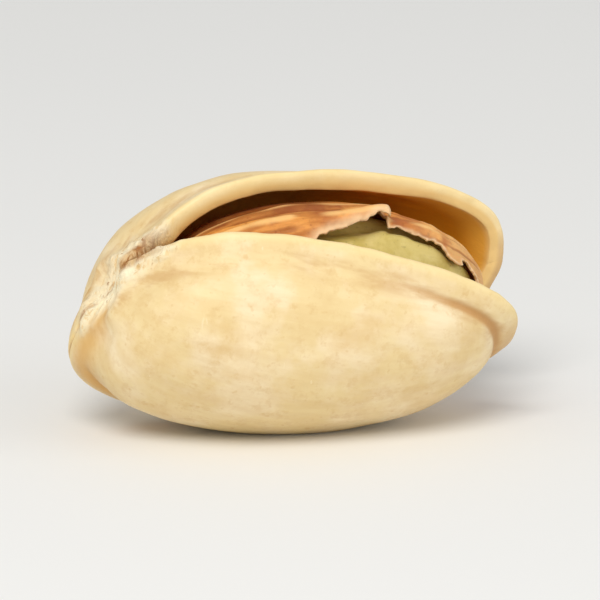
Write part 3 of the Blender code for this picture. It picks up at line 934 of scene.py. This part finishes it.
def mottle_group():
    """Blotches of one colour over another, with small specks between them."""
    group = bpy.data.node_groups.get("mottled_tint")
    if group:
        return group
    group, given, out = new_group(
        "mottled_tint",
        (
            ("Place", "NodeSocketVector"), ("Blotches per mm", "NodeSocketFloat", 0.4),
            ("Specks per mm", "NodeSocketFloat", 3.0), ("Speck share", "NodeSocketFloat", 0.3),
            ("Ground", "NodeSocketColor"), ("Blotch", "NodeSocketColor"), ("Speck", "NodeSocketColor"),
        ),
        (("Colour", "NodeSocketColor"), ("Specks", "NodeSocketFloat")),
    )
    blotches = noise_at(group, given.outputs["Place"], given.outputs["Blotches per mm"], detail=4.0, roughness=0.6)
    share = span(group, blotches, 0.40, 0.66)
    tinted = blend_colours(group, share, given.outputs["Ground"], given.outputs["Blotch"])
    specks = noise_at(group, given.outputs["Place"], given.outputs["Specks per mm"], detail=2.0, roughness=0.5)
    where = span(group, specks, 0.62, 0.74)
    strength = calculate(group, "MULTIPLY", where, given.outputs["Speck share"])
    group.links.new(blend_colours(group, strength, tinted, given.outputs["Speck"]), out.inputs["Colour"])
    group.links.new(where, out.inputs["Specks"])
    return group


def pit_group():
    """Small irregular pits or grains, as a height."""
    group = bpy.data.node_groups.get("fine_grain")
    if group:
        return group
    group, given, out = new_group(
        "fine_grain",
        (("Place", "NodeSocketVector"), ("Grains per mm", "NodeSocketFloat", 6.0)),
        (("Height", "NodeSocketFloat"),),
    )
    fine = noise_at(group, given.outputs["Place"], given.outputs["Grains per mm"], detail=4.0, roughness=0.62)
    group.links.new(fine, out.inputs["Height"])
    return group


def new_material(name, roughness, specular):
    made = bpy.data.materials.new(name)
    made.use_nodes = True
    tree = made.node_tree
    surface = tree.nodes["Principled BSDF"]
    surface.inputs["Roughness"].default_value = roughness
    surface.inputs["Specular IOR Level"].default_value = specular
    return made, tree, surface


def raise_bump(tree, height, distance, strength, onto=None):
    values = {"Height": height, "Distance": distance, "Strength": strength}
    if onto is not None:
        values["Normal"] = onto
    return add_node(tree, "ShaderNodeBump", values).outputs[0]


def scratch_mask(tree, place):
    """Short thin scratches, here and there."""
    drawn_out = add_node(
        tree, "ShaderNodeMapping", {"Vector": place, "Rotation": (0.3, 0.9, 0.2), "Scale": (3.4, 3.4, 0.5)}
    )
    return span(tree, noise_at(tree, drawn_out.outputs[0], 1.0, detail=1.0), 0.755, 0.80, 0.0, 0.5)


def shell_material(look):
    made, tree, surface = new_material("shell_wood", 0.5, 0.42)
    place = place_in_mm(tree)
    flow = attribute(tree, "flow", vector=True)
    grain = use_group(tree, grain_group(), {"Flow": flow, "Lines per mm": 1.3, "Contrast": 0.20})
    mottle = use_group(
        tree, mottle_group(),
        {
            "Place": place, "Blotches per mm": 0.33, "Specks per mm": 2.6, "Speck share": 0.35,
            "Ground": tuple(look.outside), "Blotch": tuple(look.pale), "Speck": tuple(look.streak),
        },
    )
    streaks = calculate(tree, "MULTIPLY", grain.outputs["Streaks"], 0.30)
    outside = blend_colours(tree, streaks, mottle.outputs["Colour"], tuple(look.streak))
    clouds = span(tree, noise_at(tree, place, 0.26, detail=5.0, roughness=0.62), 0.50, 0.68, 0.0, 0.38)
    outside = blend_colours(tree, clouds, outside, tuple(look.streak))
    flecks = span(tree, noise_at(tree, place, 1.25, detail=4.0, roughness=0.7), 0.50, 0.68, 0.0, 0.34)
    outside = blend_colours(tree, flecks, outside, tuple(look.streak))
    outside = blend_colours(tree, scratch_mask(tree, place), outside, tuple(look.pale))

    from_seam = attribute(tree, "from_seam")
    opened = attribute(tree, "opened")
    crease = attribute(tree, "crease")
    band_noise = noise_at(tree, flow, 1.1, detail=4.0)
    # Tan blotches in the hollow beside the lip: the shell's colour and painted shade
    in_hollow = calculate(tree, "MULTIPLY", span(tree, from_seam, 0.7, 1.1), span(tree, from_seam, 2.1, 1.5))
    hollow_blotch_and_shade = calculate(tree, "MULTIPLY", in_hollow, span(tree, band_noise, 0.42, 0.66, 0.0, 0.46))
    tinted = blend_colours(tree, hollow_blotch_and_shade, outside, tuple(look.tan))
    # Tan along the crease beside the seam: the shell's tint and painted shade
    crease_tan_and_shade = blend_colours(tree, span(tree, crease, 0.0, 0.75, 0.0, 0.95), tinted, tuple(look.tan))
    lip = span(tree, from_seam, 0.75, 0.25, 0.0, 0.55)
    lipped = blend_colours(tree, lip, crease_tan_and_shade, tuple(look.rim))
    # Tan on the underside of the tip: the apex's own darker tint and painted shade
    beak = calculate(tree, "MULTIPLY", attribute(tree, "beak"), 0.65)
    outside = blend_colours(tree, beak, lipped, tuple(look.tan))
    # Golden tan along the crease below the stem end: the shell's tint and painted shade
    under_stem = calculate(tree, "MULTIPLY", attribute(tree, "under_stem"), 0.75)
    warm_tint_and_shade = blend_colours(tree, 0.3, tuple(look.golden), tuple(look.tan))
    outside = blend_colours(tree, under_stem, outside, warm_tint_and_shade)

    scar = attribute(tree, "scar")
    fibre_place = add_node(tree, "ShaderNodeMapping", {"Vector": place, "Scale": (1.0, 1.0, 0.4)}).outputs[0]
    crack = noise_at(tree, fibre_place, 2.3, detail=5.0, roughness=0.7, distortion=0.6)
    cracks = span(tree, crack, 0.59, 0.68)
    dry = use_group(
        tree, mottle_group(),
        {
            "Place": fibre_place, "Blotches per mm": 0.75, "Specks per mm": 1.5, "Speck share": 0.8,
            "Ground": tuple(look.scar), "Blotch": tuple(look.pale), "Speck": tuple(look.golden),
        },
    )
    # Golden in the scar's hollows: warm spots and painted shade
    golden_hollows_and_shade = span(tree, crack, 0.47, 0.37, 0.0, 0.55)
    scarred = blend_colours(tree, golden_hollows_and_shade, dry.outputs["Colour"], tuple(look.golden))
    scarred = blend_colours(tree, calculate(tree, "MULTIPLY", cracks, 0.75), scarred, tuple(look.cracks))
    outside = blend_colours(tree, scar, outside, scarred)
    seam_shut = calculate(tree, "MULTIPLY", span(tree, from_seam, 0.22, 0.04), calculate(tree, "SUBTRACT", 1.0, opened))
    outside = blend_colours(
        tree, calculate(tree, "MULTIPLY", seam_shut, span(tree, band_noise, 0.40, 0.64, 0.05, 0.65)), outside,
        tuple(look.cracks),
    )

    lining_streaks = calculate(tree, "MULTIPLY", grain.outputs["Streaks"], 0.55)
    lining = blend_colours(tree, lining_streaks, tuple(look.inside), tuple(look.inside_deep))
    to_tip = attribute(tree, "to_tip")
    # Lighter towards the stem end: painted light in the deep shade of the cavity
    lining = blend_colours(tree, span(tree, to_tip, 0.72, 0.30, 0.0, 0.85), lining, tuple(look.lining_lit_at_stem))
    lining = blend_colours(tree, span(tree, to_tip, 0.72, 0.95, 0.0, 0.75), lining, tuple(look.inside_tip))
    near_rim = calculate(tree, "MULTIPLY", span(tree, from_seam, 2.0, 0.5, 0.0, 0.8), opened)
    lining = blend_colours(tree, near_rim, lining, tuple(look.inside_rim))
    # The rim's inner edge half golden: painted shade where the rim turns inwards
    at_rim = calculate(tree, "MULTIPLY", span(tree, from_seam, 0.75, 0.15), opened)
    inner_rim_shaded = blend_colours(tree, 0.5, tuple(look.rim), tuple(look.golden))
    lining = blend_colours(tree, at_rim, lining, inner_rim_shaded)
    colour = blend_colours(tree, attribute(tree, "inside"), outside, lining)
    # Tan and brown at the split's end: the torn wall's colour with painted shade
    on_fray = calculate(tree, "MULTIPLY", attribute(tree, "frayed_and_shaded"), span(tree, from_seam, 0.55, 0.20))
    patchy = calculate(tree, "MULTIPLY", on_fray, span(tree, crack, 0.36, 0.52, 0.25, 0.95))
    frayed_and_shaded = blend_colours(tree, span(tree, crack, 0.48, 0.58), tuple(look.tan), tuple(look.cracks))
    colour = blend_colours(tree, patchy, colour, frayed_and_shaded)
    tree.links.new(colour, surface.inputs["Base Color"])

    rough_value = span(tree, mottle.outputs["Specks"], 0.0, 1.0, 0.46, 0.60)
    tree.links.new(blend_value(tree, scar, rough_value, 0.85), surface.inputs["Roughness"])

    pits = use_group(tree, pit_group(), {"Place": place, "Grains per mm": 3.2})
    first = raise_bump(tree, grain.outputs["Height"], 0.06 * MM, 0.35)
    second = raise_bump(tree, pits.outputs["Height"], 0.05 * MM, 0.30, first)
    third = raise_bump(tree, calculate(tree, "MULTIPLY", crack, scar), 0.25 * MM, 0.7, second)
    tree.links.new(third, surface.inputs["Normal"])
    return made


def flesh_material(look):
    made, tree, surface = new_material("seed_flesh", 0.5, 0.4)
    surface.inputs["Subsurface Weight"].default_value = 0.12
    surface.inputs["Subsurface Radius"].default_value = (0.8, 0.9, 0.3)
    surface.inputs["Subsurface Scale"].default_value = 0.5 * MM
    place = place_in_mm(tree)
    flow = attribute(tree, "flow", vector=True)
    grain = use_group(tree, grain_group(), {"Flow": flow, "Lines per mm": 1.6, "Contrast": 0.18})
    mottle = use_group(
        tree, mottle_group(),
        {
            "Place": place, "Blotches per mm": 0.7, "Specks per mm": 5.0, "Speck share": 0.4,
            "Ground": tuple(look.flesh), "Blotch": tuple(look.flesh_deep), "Speck": screen(150, 130, 62),
        },
    )
    streaks = calculate(tree, "MULTIPLY", grain.outputs["Streaks"], 0.35)
    colour = blend_colours(tree, streaks, mottle.outputs["Colour"], tuple(look.flesh_deep))
    tree.links.new(colour, surface.inputs["Base Color"])
    tree.links.new(span(tree, grain.outputs["Streaks"], 0.0, 1.0, 0.44, 0.58), surface.inputs["Roughness"])
    pits = use_group(tree, pit_group(), {"Place": place, "Grains per mm": 5.0})
    first = raise_bump(tree, grain.outputs["Height"], 0.08 * MM, 0.4)
    tree.links.new(raise_bump(tree, pits.outputs["Height"], 0.05 * MM, 0.4, first), surface.inputs["Normal"])
    return made


def skin_material(look):
    made, tree, surface = new_material("papery_skin", 0.62, 0.35)
    surface.inputs["Subsurface Weight"].default_value = 0.08
    surface.inputs["Subsurface Radius"].default_value = (1.0, 0.45, 0.25)
    surface.inputs["Subsurface Scale"].default_value = 0.3 * MM
    place = place_in_mm(tree)
    flow = attribute(tree, "flow", vector=True)
    grain = use_group(tree, grain_group(), {"Flow": flow, "Lines per mm": 2.2, "Contrast": 0.13})
    mottle = use_group(
        tree, mottle_group(),
        {
            "Place": place, "Blotches per mm": 0.45, "Specks per mm": 3.6, "Speck share": 0.5,
            "Ground": tuple(look.skin), "Blotch": tuple(look.blush), "Speck": tuple(look.veins),
        },
    )
    veins = calculate(tree, "MULTIPLY", grain.outputs["Streaks"], 0.55)
    colour = blend_colours(tree, veins, mottle.outputs["Colour"], tuple(look.veins))
    # Paler peach towards the tip: painted light
    dry = calculate(tree, "MULTIPLY", attribute(tree, "dry"), 0.6)
    colour = blend_colours(tree, dry, colour, tuple(look.painted_light_peach))
    # Darkest brown towards the back and the stem end: the skin's own brown and painted shade
    dusk = calculate(tree, "MULTIPLY", attribute(tree, "dusk"), span(tree, grain.outputs["Height"], 0.5, 0.9, 0.85, 0.5))
    colour = blend_colours(tree, dusk, colour, tuple(look.dusk))
    # Painted shade in the hollows of the folds and painted highlight on their crests
    folds = attribute(tree, "folds")
    colour = blend_colours(tree, span(tree, folds, -0.03, -0.12, 0.0, 0.65), colour, tuple(look.veins))
    colour = blend_colours(tree, span(tree, folds, 0.04, 0.13, 0.0, 0.7), colour, tuple(look.painted_light_peach))
    # Redder in the hollows of the crumples: blotchy colour with painted shade
    crumple_blush_and_shade = span(tree, attribute(tree, "crumpled"), 0.42, 0.80, 0.0, 0.8)
    colour = blend_colours(tree, crumple_blush_and_shade, colour, tuple(look.blush))
    torn = attribute(tree, "torn")
    torn_share = calculate(tree, "MULTIPLY", span(tree, torn, 0.25, 0.9), 0.8)
    colour = blend_colours(tree, torn_share, colour, tuple(look.torn))
    lining = attribute(tree, "lining")
    colour = blend_colours(tree, calculate(tree, "MULTIPLY", lining, 0.6), colour, tuple(look.torn))
    tree.links.new(colour, surface.inputs["Base Color"])
    tree.links.new(span(tree, grain.outputs["Streaks"], 0.0, 1.0, 0.56, 0.70), surface.inputs["Roughness"])
    pits = use_group(tree, pit_group(), {"Place": place, "Grains per mm": 4.5})
    first = raise_bump(tree, grain.outputs["Height"], 0.12 * MM, 0.6)
    tree.links.new(raise_bump(tree, pits.outputs["Height"], 0.06 * MM, 0.5, first), surface.inputs["Normal"])
    return made


def floor_material(look):
    made, tree, surface = new_material("table_top", 0.75, 0.2)
    place = place_in_mm(tree)
    cloud = noise_at(tree, place, 0.02, detail=3.0)
    colour = tuple(look.floor)
    darker = tuple(c * 0.985 for c in colour)
    tree.links.new(blend_colours(tree, cloud, colour, darker), surface.inputs["Base Color"])
    tree.links.new(raise_bump(tree, noise_at(tree, place, 1.2), 0.02 * MM, 0.1), surface.inputs["Normal"])
    return made


# Stage


def area_light(name, place, target, size, power, colour):
    bpy.ops.object.select_all(action="DESELECT")
    bpy.ops.object.light_add(type="AREA", location=place)
    light = bpy.context.active_object
    light.name = name
    light.data.shape = "DISK"
    light.data.size = size
    light.data.energy = power
    light.data.color = colour
    light.rotation_euler = (target - Vector(place)).to_track_quat("-Z", "Y").to_euler()
    return light


def make_stage(look):
    middle = Vector((0.0, 0.0, 0.0060))
    bpy.ops.object.select_all(action="DESELECT")
    bpy.ops.mesh.primitive_plane_add(size=4.0, location=(0, 0, 0))
    floor = bpy.context.active_object
    floor.name = "table_top"
    floor.data.materials.append(floor_material(look))

    area_light("key_light", (-0.16, -0.24, 0.34), middle, 0.26, look.key_power, (1.0, 0.985, 0.96))
    area_light("fill_light", (0.34, -0.22, 0.16), middle, 0.30, look.fill_power, (0.96, 0.98, 1.0))
    world = bpy.data.worlds.new("surroundings")
    world.use_nodes = True
    world.node_tree.nodes["Background"].inputs["Color"].default_value = (1.0, 1.0, 1.0, 1.0)
    world.node_tree.nodes["Background"].inputs["Strength"].default_value = look.sky
    scene = bpy.context.scene
    scene.world = world
    scene.view_settings.view_transform = "Standard"

    turn, up = look.camera_round, look.camera_up
    away = Vector((math.sin(turn) * math.cos(up), -math.cos(turn) * math.cos(up), math.sin(up)))
    bpy.ops.object.camera_add(location=middle + away * look.camera_away)
    camera = bpy.context.active_object
    camera.name = "view_camera"
    camera.rotation_euler = (-away).to_track_quat("-Z", "Y").to_euler()
    camera.data.sensor_width = 36.0
    camera.data.lens = 36.0 * look.camera_away / look.shown_width
    camera.data.clip_start = 0.01
    camera.data.clip_end = 20.0
    scene.camera = camera


# Operators and panel


class PISTACHIO_OT_make_shell(bpy.types.Operator):
    """Make the woody shell, split and gaping, with its wall, its rim and the scar of the stem"""

    bl_idname = "pistachio.make_shell"
    bl_label = "Shell"

    def execute(self, context):
        make_shell(context.scene.pistachio_shell)
        return {"FINISHED"}


class PISTACHIO_OT_make_flesh(bpy.types.Operator):
    """Make the green seed that shows through the tear in its skin"""

    bl_idname = "pistachio.make_flesh"
    bl_label = "Seed"

    def execute(self, context):
        make_flesh(context.scene.pistachio_kernel)
        return {"FINISHED"}


class PISTACHIO_OT_make_skin(bpy.types.Operator):
    """Make the papery skin of the seed, wrinkled and torn"""

    bl_idname = "pistachio.make_skin"
    bl_label = "Skin"

    def execute(self, context):
        make_skin(context.scene.pistachio_kernel)
        return {"FINISHED"}


class PISTACHIO_OT_make_stage(bpy.types.Operator):
    """Make the table top, the lights and the camera"""

    bl_idname = "pistachio.make_stage"
    bl_label = "Stage"

    def execute(self, context):
        make_stage(context.scene.pistachio_stage)
        return {"FINISHED"}


class PISTACHIO_PT_pieces(bpy.types.Panel):
    """The pieces of the nut and their values"""

    bl_idname = "PISTACHIO_PT_pieces"
    bl_label = "Pistachio in shell"
    bl_space_type = "VIEW_3D"
    bl_region_type = "UI"
    bl_category = "Pistachio"

    def draw(self, context):
        for values, operators in PANEL_ROWS:
            box = self.layout.box()
            for operator in operators:
                box.operator(operator.bl_idname)
            look = getattr(context.scene, values)
            for name in look.__annotations__:
                box.prop(look, name)


PANEL_ROWS = (
    ("pistachio_shell", (PISTACHIO_OT_make_shell,)),
    ("pistachio_kernel", (PISTACHIO_OT_make_flesh, PISTACHIO_OT_make_skin)),
    ("pistachio_stage", (PISTACHIO_OT_make_stage,)),
)
LOOKS = {"pistachio_shell": ShellLook, "pistachio_kernel": KernelLook, "pistachio_stage": StageLook}
CLASSES = (
    ShellLook, KernelLook, StageLook, PISTACHIO_OT_make_shell, PISTACHIO_OT_make_flesh,
    PISTACHIO_OT_make_skin, PISTACHIO_OT_make_stage, PISTACHIO_PT_pieces,
)


def register():
    for kind in CLASSES:
        bpy.utils.register_class(kind)
    for name, kind in LOOKS.items():
        setattr(bpy.types.Scene, name, bpy.props.PointerProperty(type=kind))


def unregister():
    for name in LOOKS:
        delattr(bpy.types.Scene, name)
    for kind in reversed(CLASSES):
        bpy.utils.unregister_class(kind)


def main():
    register()
    bpy.ops.pistachio.make_shell()
    bpy.ops.pistachio.make_flesh()
    bpy.ops.pistachio.make_skin()
    bpy.ops.pistachio.make_stage()


if __name__ == "__main__":
    main()
